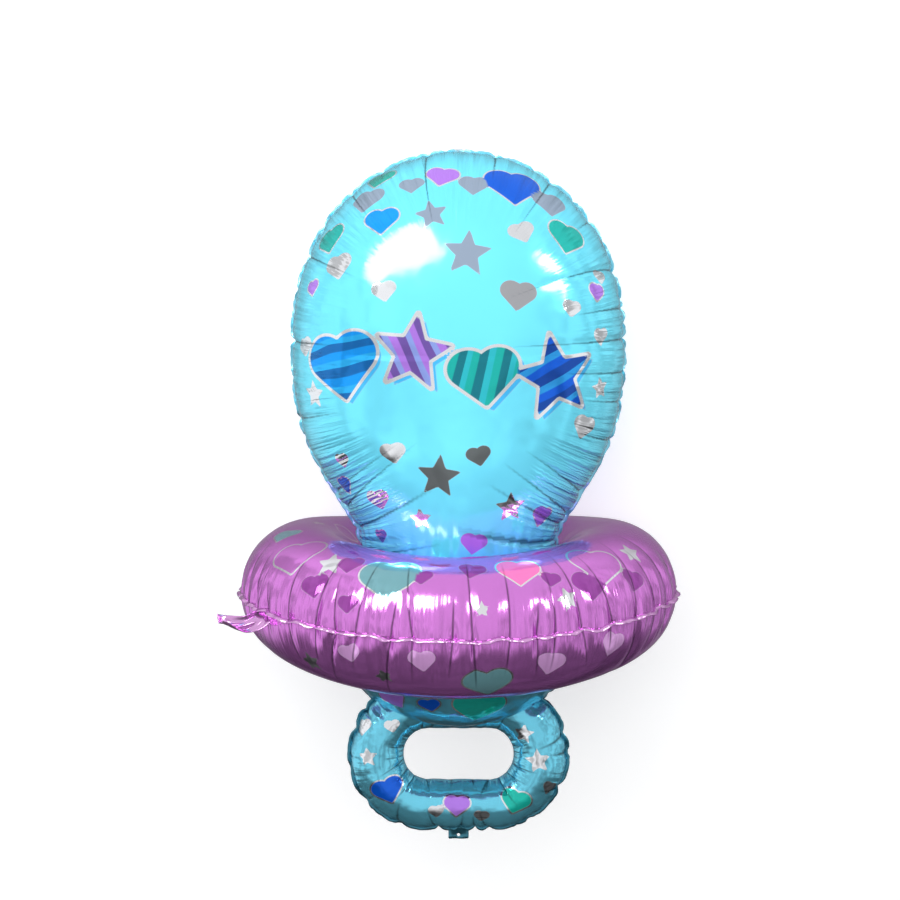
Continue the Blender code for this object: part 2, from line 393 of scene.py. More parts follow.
def seam_places(points):
    """For points of the body: arc length of the nearest point of the seam, and film distance to it."""
    keep = slice(None, None, SEAM_STRIDE)
    arcs = OUTLINE_S[keep]
    tree = point_tree(np.column_stack([OUTLINE_X[keep], OUTLINE_Y[keep], np.zeros(len(arcs))]))
    at = np.empty(len(points))
    flat = np.empty(len(points))
    for index, point in enumerate(points):
        _, nearest, distance = tree.find((abs(point[0]), point[1], 0.0))
        at[index] = arcs[nearest]
        flat[index] = distance
    return at, np.hypot(flat, points[:, 2])


def body_film(low, high):
    """The film of the body between two arc lengths of its outline, before it is creased."""
    count = int(round((high - low) / FILM_PITCH))
    arcs = low + (high - low) * (np.arange(count) + 0.5) / count
    y = np.interp(arcs, OUTLINE_S, OUTLINE_Y)
    width = body_half_width(y)[:, None]
    depth = body_half_depth(y)[:, None]
    blend = ease((y - RING_TUBE_HEIGHT) / (BULB_CENTRE - RING_TUBE_HEIGHT))
    fullness = (2.0 + (BULB_FULLNESS - 2.0) * blend)[:, None]
    front = even_turns(FRONT_STEPS, 0.0, math.pi, BULB_FULLNESS)
    back = even_turns(BACK_STEPS, math.pi, 2 * math.pi, BULB_FULLNESS)
    turns = np.concatenate([front, back])[None, :]
    x = width * signed_power(np.cos(turns), 2.0 / fullness)
    z = depth * np.sin(turns)
    grid = np.stack([x, np.broadcast_to(y[:, None], x.shape), z], 2)
    normals = grid_normals(grid, False)
    rows, steps = x.shape
    return grid, normals, grid_faces(rows, steps, False)


# Creases: valleys that start at a welded seam and fade into the film


def valleys(along, off, sheet, creases, period=None):
    """How far creases draw the film in, and for each point the gap to its nearest painted fold shade
    line and that line's strength.
    """
    drawn = np.zeros(len(along))
    fold_shade = np.zeros((len(along), 2))
    for crease in creases:
        gap = along - crease.at - crease.slant * off
        if period:
            gap = (gap + period / 2) % period - period / 2
        fade = np.maximum(1.0 - off / crease.length, 0.0)
        reach = crease.half_width * (1.6 - 0.9 * fade)
        near = np.maximum(1.0 - np.abs(gap) / reach, 0.0)
        same = (sheet == crease.sheet) | (crease.sheet == 0)
        drawn += np.where(same, crease.depth * fade ** 1.3 * near ** 2.6, 0.0)
        # Creases this deep also get a painted shade line along their core, which darkens the colour
        if crease.depth > FOLD_SHADE_DEPTH:
            strength = fade ** 0.7 * np.maximum(1.0 - np.abs(gap) / FOLD_SHADE_REACH, 0.0) ** 2
            strength = np.where(same, strength * min(crease.depth / FOLD_SHADE_FULL_DEPTH, 1.0), 0.0)
            stronger = strength > fold_shade[:, 1]
            fold_shade[stronger] = np.column_stack([gap[stronger], strength[stronger]])
    return drawn, fold_shade


def tube_valleys(along, outer_off, inner_off, sheet, outer, inner, period):
    """Valleys from a tube's outer and inner seams, and the stronger painted fold shade line at each
    point.
    """
    drawn, fold_shade = valleys(along, outer_off, sheet, outer, period)
    drawn_inside, fold_shade_inside = valleys(along, inner_off, sheet, inner, period)
    stronger = (fold_shade[:, 1] > fold_shade_inside[:, 1])[:, None]
    return drawn, drawn_inside, np.where(stronger, fold_shade, fold_shade_inside)


def puckers(rng, start, end, kinds):
    """Creases of several kinds along a stretch of seam, unevenly spaced, on both sheets."""
    creases = []
    for pitch, length, depth, stray in kinds:
        at = start
        while at < end:
            step = pitch * rng.uniform(0.6, 1.4)
            for sheet in (1, -1):
                creases.append(Crease(
                    at + rng.uniform(-stray, stray) * pitch, sheet, length * rng.uniform(0.35, 1.3),
                    depth * rng.uniform(0.5, 1.25), step * rng.uniform(0.38, 0.60),
                    rng.uniform(-0.3, 0.3)))
            at += step
    return creases


def swell(points, height, size, seed):
    """A faint unevenness of the film, from a few long crossing waves."""
    rng = np.random.default_rng(seed)
    total = np.zeros(len(points))
    for _ in range(SWELL_WAVES):
        direction = unit(rng.normal(size=3))
        length = size * rng.uniform(0.7, 1.6)
        total += np.sin(points @ direction * 2 * math.pi / length + rng.uniform(0, 2 * math.pi))
    return height * total / SWELL_WAVES


def waves(along, seed, height, lengths, shares=THIRDS):
    """A sum of waves along a seam, each with its length, its share and a random start."""
    rng = np.random.default_rng(seed)
    total = np.zeros(len(along))
    for length, share in zip(lengths, shares):
        total += share * np.sin(along * 2 * math.pi / length + rng.uniform(0, 2 * math.pi))
    return height * total


def near_seam(off, reach):
    return np.exp(-(off / reach) ** 2)


def body_seam(points):
    """Signed distance along the body's seam from the bulb's tip, and film distance off it."""
    at, off = seam_places(points)
    return np.where(points[:, 0] >= 0, 1.0, -1.0) * (OUTLINE_S[-1] - at), off


def outline_places(along, off):
    """For body seam coordinates: the seam point's x and y, and the distance off it."""
    at = OUTLINE_S[-1] - np.abs(along)
    x = np.sign(along) * np.interp(at, OUTLINE_S, OUTLINE_X)
    return np.column_stack([x, np.interp(at, OUTLINE_S, OUTLINE_Y), off])


# Creases that the photograph shows on the bulb's front: pixel at the seam, pixel where it
# ends, and depth in metres
BULB_PHOTO_CREASES = (
    ((429, 161), (428, 203), 0.0030), ((494, 160), (493, 171), 0.0028),
    ((551, 182), (528, 215), 0.0030), ((594, 220), (581, 227), 0.0025),
    ((612, 274), (543, 285), 0.0036), ((622, 340), (549, 346), 0.0036),
    ((622, 400), (598, 401), 0.0026), ((352, 193), (361, 208), 0.0028),
    ((311, 259), (337, 269), 0.0028), ((293, 341), (317, 345), 0.0026),
    ((302, 420), (325, 415), 0.0026), ((624, 307), (590, 312), 0.0028),
    ((623, 372), (585, 374), 0.0026), ((612, 440), (588, 436), 0.0026),
    ((357, 510), (389, 466), 0.0048), ((362, 529), (405, 504), 0.0050),
    ((376, 548), (410, 549), 0.0040), ((345, 492), (372, 462), 0.0036),
    ((559, 515), (529, 482), 0.0048), ((554, 526), (518, 501), 0.0050),
    ((547, 545), (491, 537), 0.0044), ((572, 492), (548, 466), 0.0038),
)
PHOTO_CREASE_SPREAD = 0.0160
PHOTO_CREASE_LONGER = 1.25
PHOTO_CREASE_SHORTEST = 0.02
PHOTO_CREASE_LEAST_REACH = 0.01
PHOTO_CREASE_SLANT = 1.2
# How deep the photograph's creases are made on the front, and again on the unseen back
PHOTO_CREASE_SHARES = ((1, 1.5), (-1, 0.9))


def photo_creases(grid):
    """The photograph's creases in seam coordinates, found on the smooth film."""
    front = grid[:, :FRONT_STEPS].reshape(-1, 3)
    pixels = photo_pixels(front)
    creases = []
    for start, end, depth in BULB_PHOTO_CREASES:
        ends = []
        for pixel in (start, end):
            nearest = np.argmin(((pixels - np.array(pixel)) ** 2).sum(1))
            along, off = body_seam(front[nearest][None, :])
            ends.append((along[0], off[0]))
        length = max(ends[1][1] * PHOTO_CREASE_LONGER, PHOTO_CREASE_SHORTEST)
        slant = (ends[1][0] - ends[0][0]) / max(ends[1][1], PHOTO_CREASE_LEAST_REACH)
        slant = np.clip(slant, -PHOTO_CREASE_SLANT, PHOTO_CREASE_SLANT)
        for sheet, share in PHOTO_CREASE_SHARES:
            creases.append(Crease(
                ends[0][0], sheet, length, share * depth, PHOTO_CREASE_SPREAD, slant))
    return creases


def neck_side(y):
    """1 at the middle of the neck's height, fading to 0 above and below."""
    return np.exp(-((y - NECK_SIDE_CENTRE) / NECK_SIDE_REACH) ** 2)


def crease_body(grid, normals):
    """Draws the body's film in along its creases, and lets its seam wander."""
    points = grid.reshape(-1, 3)
    normal = normals.reshape(-1, 3)
    along, off = body_seam(points)
    sheet = np.where(points[:, 2] >= 0, 1, -1)
    rng = np.random.default_rng(11)
    half = OUTLINE_S[-1]
    creases = puckers(rng, -half, half, BULB_PUCKERS) + photo_creases(grid)
    neck_ends = half - np.interp(NECK_PUCKER_HEIGHTS, OUTLINE_Y, OUTLINE_S)
    for side in (-1, 1):
        start, end = sorted(side * neck_ends)
        creases += puckers(rng, start, end, NECK_PUCKERS)
    drawn, fold_shade = valleys(along, off, sheet, creases)
    neck = neck_side(points[:, 1])
    drawn = drawn * (1.0 - 0.9 * neck * near_seam(off, NECK_CALM_REACH))
    drawn = drawn + NECK_TUCK * neck * near_seam(off, NECK_TUCK_REACH)
    turn = np.arctan2(points[:, 2], points[:, 0])
    squeeze = near_seam(points[:, 1] - SQUEEZE_CENTRE, SQUEEZE_REACH)
    folds = 0.5 + 0.5 * np.sin(SQUEEZE_FOLDS * turn + 1.9 * np.sin(7 * turn))
    drawn = drawn + SQUEEZE_DEPTH * squeeze * folds ** 2 - swell(points, *BODY_SWELL)
    clear = ease((ring_clearance(points[:, 1], turn) - np.hypot(points[:, 0], points[:, 2])) / 0.010)
    drawn = np.where(drawn < 0, drawn * clear, drawn)
    points = points - normal * drawn[:, None]
    points[:, 2] += waves(along, 5, BODY_SEAM_WAVE, BODY_SEAM_LENGTHS) * near_seam(off, 0.016) * clear
    return points, along, off, fold_shade


# Mesh building


class Shell:
    """Points and faces gathered for one piece, with what its material needs at each point."""

    def __init__(self):
        self.points = np.zeros((0, 3))
        self.faces = []
        self.seam = np.zeros((0, 3))
        self.fold_shade = np.zeros((0, 2))
        self.edge = np.zeros(0)

    def add(self, points, faces, seam=None, fold_shade=None, edge=0.0):
        base = len(self.points)
        self.points = np.vstack([self.points, points])
        self.faces += [[base + corner for corner in face] for face in faces]
        count = len(points)
        self.seam = np.vstack([self.seam, np.ones((count, 3)) if seam is None else seam])
        self.fold_shade = np.vstack([self.fold_shade, np.zeros((count, 2)) if fold_shade is None else fold_shade])
        self.edge = np.concatenate([self.edge, np.full(count, edge)])

    def fan(self, loop, tip):
        """Closes a loop of points with triangles to one more point."""
        index = len(self.points)
        self.add(tip[None, :], [], self.seam[loop[:1]])
        self.faces += [[loop[k], loop[(k + 1) % len(loop)], index] for k in range(len(loop))]


def mesh_object(name, points, faces):
    mesh = bpy.data.meshes.new(name)
    mesh.from_pydata(lie_down(points).tolist(), [], faces)
    mesh.update()
    model = bmesh.new()
    model.from_mesh(mesh)
    bmesh.ops.recalc_face_normals(model, faces=model.faces[:])
    model.to_mesh(mesh)
    model.free()
    mesh.shade_smooth()
    return add_object(name, mesh)


def ribbon(path, outward, flat, width, wave, closed):
    """A thin welded edge along a path: six points round at each step, ends filled unless closed."""
    half = flat * FLANGE_THICKNESS / 2
    width = width[:, None]
    inner = path - outward * FLANGE_ROOT
    middle = path + outward * width * 0.5 + flat * wave[:, None] * 0.4
    outer = path + outward * width + flat * wave[:, None]
    above = [line + half for line in (inner, middle, outer)]
    below = [line - half for line in (outer, middle, inner)]
    rounds = np.stack(above + below, 1)
    rows = len(path)
    faces = grid_faces(rows, 6, closed).tolist()
    if not closed:
        faces.append([0, 1, 2, 3, 4, 5])
        faces.append([(rows - 1) * 6 + k for k in range(5, -1, -1)])
    return rounds.reshape(-1, 3), faces


def body_flange(shell, grid, normals, along, heights, seed):
    """Adds the welded edge of both sides of a stretch of the body, over the tip if it is there."""
    keep = (grid[:, 0, 1] > heights[0]) & (grid[:, 0, 1] < heights[1])
    runs = [[part[keep, step] for part in (grid, normals, along)] for step in (0, FRONT_STEPS)]
    if heights[1] > BODY_TOP:
        runs = [[np.concatenate([right, left[::-1]]) for right, left in zip(*runs)]]
    for path, out, arc in runs:
        out = unit(out * (1.0 - FRONT))
        room = ease((ring_clearance(path[:, 1], 0.0) - np.abs(path[:, 0])) / 0.012)
        end = np.minimum(np.arange(len(path)), np.arange(len(path))[::-1]) / 8.0
        widest = BULB_FLANGE_WIDTH + NECK_TUCK * neck_side(path[:, 1])
        width = widest * np.clip(np.minimum(room, end), 0.08, 1.0)
        wave = waves(arc, seed, BODY_RIM_WAVE, RIM_LENGTHS, RIM_SHARES) * width / widest
        flat = np.broadcast_to(FRONT, path.shape)
        shell.add(*ribbon(path, out, flat, width, wave, False), edge=1.0)


def body_shell(arcs, ends, flange_heights, seed):
    """A stretch of the body with its welded edges.

    Each end is a row and how far along the balloon the point that closes it is moved.
    """
    grid, normals, faces = body_film(*arcs)
    rows, steps = grid.shape[:2]
    points, along, off, fold_shade = crease_body(grid, normals)
    shell = Shell()
    shell.add(points, faces.tolist(), outline_places(along, off), fold_shade)
    for row, lift in ends:
        loop = [row % rows * steps + k for k in range(steps)]
        shell.fan(loop, points[loop].mean(0) + lift * LONG)
    points = points.reshape(grid.shape)
    body_flange(shell, points, normals, along.reshape(rows, steps), flange_heights, seed)
    return shell


def bulb_shell():
    """The bulb and neck, down to the ring's middle."""
    ends = ((-1, FILM_PITCH / 2), (0, 0.0))
    return body_shell((SPLIT_S, OUTLINE_S[-1]), ends, (0.055, 1.0), 21)


def handle_run():
    """Rows of the handle's tube: centres, outward directions, tube radii and arc length."""
    half_length = SLOT_LENGTH / 2 + HANDLE_SIDE_RADIUS
    end_radius = SLOT_HEIGHT / 2 + HANDLE_END_RADIUS
    straight = half_length - end_radius
    half = 2 * straight + math.pi * end_radius
    count = 2 * int(round(half / HANDLE_FILM_PITCH))
    walked = np.arange(count) * 2 * half / count
    mirror = np.where(walked < half, 1.0, -1.0)
    arc = walked % half
    turn = arc / end_radius - math.pi / 2
    back = arc - math.pi * end_radius
    bend = arc < math.pi * end_radius
    out_x = np.where(bend, np.cos(turn), 0.0)
    out_y = np.where(bend, np.sin(turn), 1.0)
    x = np.where(bend, straight + end_radius * out_x, straight - back)
    y = np.where(bend, end_radius * out_y, end_radius)
    centres = np.stack([x * mirror, y * mirror + HANDLE_CENTRE, np.zeros(count)], 1)
    outward = np.stack([out_x * mirror, out_y * mirror, np.zeros(count)], 1)
    radius = HANDLE_END_RADIUS + (HANDLE_SIDE_RADIUS - HANDLE_END_RADIUS) * outward[:, 0] ** 2
    return centres, outward, radius, walked, 2 * half


def add_handle(shell):
    """Adds the handle's tube with its puckers, and its outer welded edge."""
    centres, outward, radius, walked, period = handle_run()
    rows = len(centres)
    angle = 2 * math.pi * np.arange(HANDLE_FILM_STEPS) / HANDLE_FILM_STEPS
    cos, sin = np.cos(angle)[None, :, None], np.sin(angle)[None, :, None]
    normal = outward[:, None, :] * cos + FRONT * sin
    grid = centres[:, None, :] + normal * radius[:, None, None]
    points, normals = grid.reshape(-1, 3), normal.reshape(-1, 3)
    turn = np.abs((angle + math.pi) % (2 * math.pi) - math.pi)[None, :]
    along = np.repeat(walked, HANDLE_FILM_STEPS)
    outer_off = (turn * radius[:, None]).ravel()
    inner_off = ((math.pi - turn) * radius[:, None]).ravel()
    sheet = np.where(points[:, 2] >= 0, 1, -1)
    rng = np.random.default_rng(31)
    outer = puckers(rng, 0.0, period, HANDLE_PUCKERS)
    inner = puckers(rng, 0.0, period, SLOT_PUCKERS)
    drawn, drawn_inside, fold_shade = tube_valleys(along, outer_off, inner_off, sheet, outer, inner, period)
    drawn = drawn + drawn_inside * ease(inner_off / 0.016) - swell(points, *HANDLE_SWELL)
    points = points - normals * drawn[:, None]
    lengths = (period / 9, period / 14, period / 23)
    points[:, 2] += waves(along, 9, HANDLE_SEAM_WAVE, lengths) * near_seam(outer_off, 0.010)
    places = np.repeat(centres[:, :2], HANDLE_FILM_STEPS, axis=0)
    places = np.column_stack([places, np.minimum(outer_off, inner_off)])
    shell.add(points, grid_faces(rows, HANDLE_FILM_STEPS, True).tolist(), places, fold_shade)
    path = points.reshape(rows, HANDLE_FILM_STEPS, 3)[:, 0]
    under_lobe = (outward[:, 1] > 0.5) & (np.abs(path[:, 0]) < JOIN_HALF_WIDTH)
    width = np.where(under_lobe, JOIN_FLANGE_WIDTH, FLANGE_WIDTH)
    wave = waves(walked, 23, RIM_WAVE, RIM_LENGTHS, RIM_SHARES) * (width / FLANGE_WIDTH) ** 2
    flat = np.broadcast_to(FRONT, path.shape)
    shell.add(*ribbon(path, outward, flat, width, wave, True), edge=1.0)


def hang_tab():
    """The hang tab: a flat plate with rounded corners round its ribbon hole."""
    angle = 2 * math.pi * np.arange(TAB_POINTS) / TAB_POINTS
    top = HANDLE_BOTTOM + TAB_ROOT
    bottom = HANDLE_BOTTOM - TAB_LENGTH
    hole_y = bottom + TAB_HOLE_MARGIN
    direction = np.stack([np.cos(angle), np.sin(angle)], 1)
    hole = direction * TAB_HOLE_RADIUS
    room_x = TAB_WIDTH / 2 / np.maximum(np.abs(direction[:, 0]), 1e-6)
    room_y = np.where(direction[:, 1] > 0, top - hole_y, hole_y - bottom)
    room_y = room_y / np.maximum(np.abs(direction[:, 1]), 1e-6)
    rim = direction * np.minimum(room_x, room_y)[:, None]
    centre = np.array((0.0, hole_y))
    loops = []
    for flat, z in ((hole, 1), (rim, 1), (rim, -1), (hole, -1)):
        wave = TAB_WAVE * np.sin(flat[:, 0] * 2 * math.pi / TAB_WAVE_LENGTH)
        loops.append(np.column_stack([flat + centre, wave + z * TAB_THICKNESS / 2]))
    return np.stack(loops, 1).reshape(-1, 3), grid_faces(TAB_POINTS, 4, True).tolist()


def lower_shell():
    """The lobe, the handle and the hang tab, with their welded edges."""
    ends = ((0, -FILM_PITCH / 2), (-1, 0.0))
    shell = body_shell((0.0, SPLIT_S), ends, (BODY_BOTTOM + 0.012, -0.070), 22)
    add_handle(shell)
    shell.add(*hang_tab(), edge=1.0)
    return shell


def film_strip(points, thickness):
    """A closed thin solid round a grid of points (rows, columns, 3)."""
    rows, columns = points.shape[:2]
    normal = unit(np.cross(np.gradient(points, axis=1), np.gradient(points, axis=0)))
    above = points + normal * thickness / 2
    below = points - normal * thickness / 2
    loop = np.concatenate([above, below[:, ::-1]], 1)
    faces = grid_faces(rows, 2 * columns, False).tolist()
    for row, turn in ((0, 1), (rows - 1, -1)):
        base = row * 2 * columns
        end = base + 2 * columns - 1
        faces += [[base + k, base + k + 1, end - 1 - k, end - k][::turn] for k in range(columns - 1)]
    return loop.reshape(-1, 3), faces


# The ring


def ring_shell():
    """The ring's film with its puckers, its welded edge and its filling tail."""
    rows, steps = RING_FILM_ROWS, RING_FILM_STEPS
    turn = 2 * math.pi * np.arange(rows) / rows
    angle = 2 * math.pi * np.arange(steps) / steps
    outward = np.stack([np.cos(turn), np.zeros(rows), np.sin(turn)], 1)
    cos, sin = np.cos(angle)[None, :, None], np.sin(angle)[None, :, None]
    rise = ring_rise(turn)[:, None, None] * LONG
    reach = RING_RADIUS + RING_TUBE_RADIUS * cos
    grid = outward[:, None, :] * reach + rise + RING_TUBE_HEIGHT * sin * LONG
    normals = unit(outward[:, None, :] * cos * RING_TUBE_HEIGHT + LONG * sin * RING_TUBE_RADIUS)
    points, normal = grid.reshape(-1, 3), normals.reshape(-1, 3)
    rim = RING_RADIUS + RING_TUBE_RADIUS
    period = 2 * math.pi * rim
    bend = np.abs((angle + math.pi) % (2 * math.pi) - math.pi)
    along = np.repeat(turn * rim, steps)
    outer_off = np.tile(bend * RING_TUBE_RADIUS, rows)
    inner_off = np.tile((math.pi - bend) * RING_TUBE_RADIUS, rows)
    sheet = np.where(np.tile(np.sin(angle), rows) >= 0, 1, -1)
    rng = np.random.default_rng(41)
    outer = puckers(rng, 0.0, period, RING_PUCKERS)
    inner = puckers(rng, 0.0, period, RING_HOLE_PUCKERS)
    # The tail pulls creases towards its root, longer ones on the side above it
    for share in range(-2, 3):
        at = TAIL_ANGLE * rim + share * TAIL_CREASE_PITCH
        outer.append(Crease(at, 1, 0.060 + 0.005 * share, 0.0024, 0.0120, -share * 0.16 - 0.2))
        outer.append(Crease(at, -1, 0.036, 0.0022, 0.0115, -share * 0.12))
    drawn, drawn_inside, fold_shade = tube_valleys(along, outer_off, inner_off, sheet, outer, inner, period)
    drawn = drawn + drawn_inside - swell(points, *RING_SWELL)
    snug = ease((inner_off - 0.02) / 0.04)
    drawn = np.where(drawn < 0, drawn * snug, drawn)
    points = points - normal * drawn[:, None]
    lengths = (period / 21, period / 33, period / 47)
    points[:, 1] += waves(along, 7, RING_SEAM_WAVE, lengths) * near_seam(outer_off, 0.018)
    shell = Shell()
    places = np.repeat(outward[:, (0, 2)] * rim, steps, axis=0)
    shell.add(points, grid_faces(rows, steps, True).tolist(), np.column_stack([places, outer_off]), fold_shade)
    path = points.reshape(rows, steps, 3)[:, 0]
    wave = waves(turn * rim, 51, RIM_WAVE, RIM_LENGTHS, RIM_SHARES)
    cos, sin = math.cos(RING_FLANGE_DROOP), math.sin(RING_FLANGE_DROOP)
    width = np.full(rows, RING_FLANGE_WIDTH)
    out, flat = outward * cos - LONG * sin, outward * sin + LONG * cos
    shell.add(*ribbon(path, out, flat, width, wave, True), edge=1.0)
    shell.add(*tail_strip(), edge=1.0)
    return shell


def tail_strip():
    """The filling tail: a flat tube of film that droops, twists and curls at its free end."""
    along = np.linspace(0.0, 1.0, TAIL_ROWS)
    across = np.linspace(-1.0, 1.0, TAIL_COLUMNS)[None, :]
    outward = np.array((math.cos(TAIL_ANGLE), 0.0, math.sin(TAIL_ANGLE)))
    sideways = np.array((-math.sin(TAIL_ANGLE), 0.0, math.cos(TAIL_ANGLE)))
    start = RING_RADIUS + RING_TUBE_RADIUS - TAIL_ROOT
    reach = start + (TAIL_ROOT + TAIL_LENGTH) * along
    height = ring_rise(TAIL_ANGLE) - TAIL_DROOP * along ** 2 - TAIL_SAG * np.sin(math.pi * along)
    twist = (TAIL_TWIST * along + TAIL_ROLL * np.sin(math.pi * along) ** 2)[:, None]
    wide = sideways * np.cos(twist) + LONG * np.sin(twist)
    lift = LONG * np.cos(twist) - sideways * np.sin(twist)
    middle = outward * reach[:, None] + LONG * height[:, None]
    half = TAIL_WIDTH / 2 * (1.30 - 0.55 * along + 0.10 * np.sin(along * 9.0))
    along = along[:, None]
    folds = TAIL_FOLD * np.sin(across * 6.0 + 3.0 * along) * (0.3 + along)
    bulge = folds + TAIL_CURL * across ** 2 * along ** 2
    spread = wide[:, None, :] * (across * half[:, None])[:, :, None]
    grid = middle[:, None, :] + spread + lift[:, None, :] * bulge[:, :, None]
    return film_strip(grid, TAIL_THICKNESS)


# Prints: hearts and stars on the film

SILVER = (0.86, 0.87, 0.90)
# Silver prints tinted grey, dark and mid grey: painted reflections, darker tints standing in for what
# the bare silver would mirror there
GREY_PAINTED_REFLECTION = (0.30, 0.37, 0.48)
DARK_PAINTED_REFLECTION = (0.13, 0.145, 0.145)
MID_PAINTED_REFLECTION = (0.34, 0.34, 0.36)
FILM = None
GREEN = (0.010, 0.50, 0.40)
TEAL = (0.010, 0.48, 0.42)
DEEP_BLUE = (0.003, 0.110, 0.70)
AZURE = (0.004, 0.34, 0.98)
VIOLET = (0.46, 0.20, 0.80)
PINK = (1.0, 0.20, 0.52)
SHADOW_AZURE = (0.06, 0.50, 0.92)
DARK_PURPLE = (0.30, 0.055, 0.33)
PALE_PURPLE = (0.80, 0.42, 0.84)
GREY_TEAL = (0.17, 0.38, 0.42)

HEART_WIDTH = 1.207
HEART_SQUASH = 0.88
STAR_WIDTH = 1.902
STAR_WAIST = 0.45
THIN_RIM = 0.0020
BIG_RIM = 0.0042
OUTLINE_RIM = 0.0024
INK_METAL = 0.5
STRIPE_LEAN = math.radians(55)

# A width in the photo is widened for film that leans away, but by no more than this allows
MOST_LEAN = 0.75
SMALL_PATCH = 0.01
PRINT_GAP = 0.004
BIG_PRINT_GAP = 0.01

# A print: its shape, tint, centre pixel, width in pixels, turn in degrees and rim in metres
Print = namedtuple("Print", "shape tint pixel width turn rim")


def prints(shape, tint, rim, *places):
    """Prints of one kind; each place is a pixel's column and row, a width and a turn."""
    return [Print(shape, tint, (x, y), width, turn, rim) for x, y, width, turn in places]


# The grey, dark and mid grey tints among the silver prints below are painted reflections
BULB_PRINTS = (
    *prints("heart", GREY_PAINTED_REFLECTION, 0.0, (411, 186, 24, 12), (473, 186, 30, -6), (550, 203, 30, -20),
            (365, 200, 28, 14)),
    *prints("heart", SILVER, 0.0, (522, 233, 26, 16), (337, 268, 24, 18), (383, 291, 24, 10),
            (571, 310, 18, -12), (601, 337, 16, 0), (601, 277, 14, -10), (606, 244, 16, -14),
            (304, 347, 18, 14), (584, 429, 22, -16), (343, 461, 14, 10), (392, 454, 25, 8),
            (378, 501, 22, 10), (380, 536, 13, 8)),
    *prints("heart", MID_PAINTED_REFLECTION, 0.0, (518, 296, 35, -8)),
    *prints("heart", DARK_PAINTED_REFLECTION, 0.0, (478, 456, 24, 12)),
    *prints("star", GREY_PAINTED_REFLECTION, 0.0, (431, 214, 32, 14), (466, 252, 46, -6)),
    *prints("star", SILVER, 0.0, (314, 395, 22, 0), (601, 388, 18, 8), (421, 520, 22, 6),
            (510, 507, 28, 4)),
    *prints("star", DARK_PAINTED_REFLECTION, 0.0, (438, 477, 42, -6)),
    *prints("heart", GREEN, THIN_RIM, (379, 177, 24, 20)),
    *prints("heart", VIOLET, THIN_RIM, (442, 176, 32, -10), (310, 287, 14, 18), (597, 293, 16, -12),
            (541, 517, 18, -12)),
    *prints("heart", DEEP_BLUE, THIN_RIM, (513, 187, 52, -10), (343, 486, 16, 14)),
    *prints("heart", AZURE, THIN_RIM, (381, 221, 32, 10)),
    *prints("heart", TEAL, THIN_RIM, (328, 239, 27, 28), (568, 238, 32, -24)),
    *prints("heart", VIOLET, 0.0, (474, 545, 26, -8)),
)
BIG_PRINTS = (
    Print("heart", AZURE, (340, 368), 66, 10, BIG_RIM),
    Print("star", VIOLET, (412, 352), 70, -8, BIG_RIM),
    Print("heart", TEAL, (484, 378), 68, 6, BIG_RIM),
    Print("star", DEEP_BLUE, (556, 376), 72, 10, BIG_RIM),
)
SHADOW_SHIFT = (6, 5)

RING_PRINTS = (
    *prints("heart", FILM, OUTLINE_RIM, (295, 555, 42, 30), (598, 564, 45, -14), (349, 531, 24, 20)),
    *prints("heart", GREY_TEAL, THIN_RIM, (389, 578, 55, 6), (488, 686, 45, 8), (283, 533, 24, 30)),
    *prints("heart", PINK, THIN_RIM, (519, 572, 40, -4)),
    *prints("star", SILVER, 0.0, (331, 562, 26, 10), (631, 552, 20, -10), (483, 609, 16, 0),
            (568, 598, 20, 12), (311, 662, 18, 8), (384, 677, 18, 20), (318, 520, 14, 0)),
    *prints("heart", DARK_PURPLE, 0.0, (314, 586, 26, 16), (350, 564, 24, 10), (422, 577, 22, 4),
            (346, 605, 20, 8), (471, 570, 26, -4), (551, 580, 20, -10), (592, 585, 30, -12),
            (634, 580, 22, -20)),
    *prints("heart", PALE_PURPLE, 0.0, (422, 662, 26, 6), (551, 664, 26, -6), (350, 655, 22, 12),
            (612, 645, 24, -14)),
)
LOWER_PRINTS = (
    *prints("heart", VIOLET, THIN_RIM, (393, 700, 26, 20), (456, 806, 26, -4)),
    *prints("heart", DEEP_BLUE, THIN_RIM, (430, 706, 22, 6), (387, 792, 32, 20)),
    *prints("heart", GREEN, THIN_RIM, (478, 710, 52, -4), (516, 803, 30, -16)),
    *prints("heart", SILVER, 0.0, (362, 727, 16, 14), (392, 727, 16, 10), (436, 812, 16, 6),
            (482, 818, 16, -6), (550, 790, 14, -20)),
    *prints("star", SILVER, 0.0, (368, 757, 20, 6), (523, 735, 20, -8), (539, 762, 26, 8)),
)


def heart_distance(x, y, width):
    """Signed distance from a heart's outline, negative inside, for points about its middle."""
    scale = width / HEART_WIDTH
    x = np.abs(x) / scale
    y = y / scale / HEART_SQUASH + 0.55
    lobe = np.hypot(x - 0.25, y - 0.75) - math.sqrt(2.0) / 4.0
    half = 0.5 * np.maximum(x + y, 0.0)
    body = np.minimum(np.hypot(x, y - 1.0), np.hypot(x - half, y - half)) * np.sign(x - y)
    return np.where(y + x > 1.0, lobe, body) * scale


def star_distance(x, y, width):
    """Signed distance from a five-pointed star's outline, negative inside."""
    radius = width / STAR_WIDTH
    cos, sin = math.cos(math.pi / 5), math.sin(math.pi / 5)
    x = np.abs(x)
    for side in (1, -1):
        beyond = np.maximum(side * cos * x - sin * y, 0.0)
        x = x - 2 * beyond * side * cos
        y = y + 2 * beyond * sin
    x = np.abs(x)
    y = y - radius
    edge = np.array((STAR_WAIST * sin, STAR_WAIST * cos - 1.0))
    reach = np.clip((x * edge[0] + y * edge[1]) / (edge @ edge), 0.0, radius)
    return np.hypot(x - edge[0] * reach, y - edge[1] * reach) * np.sign(y * edge[0] - x * edge[1])


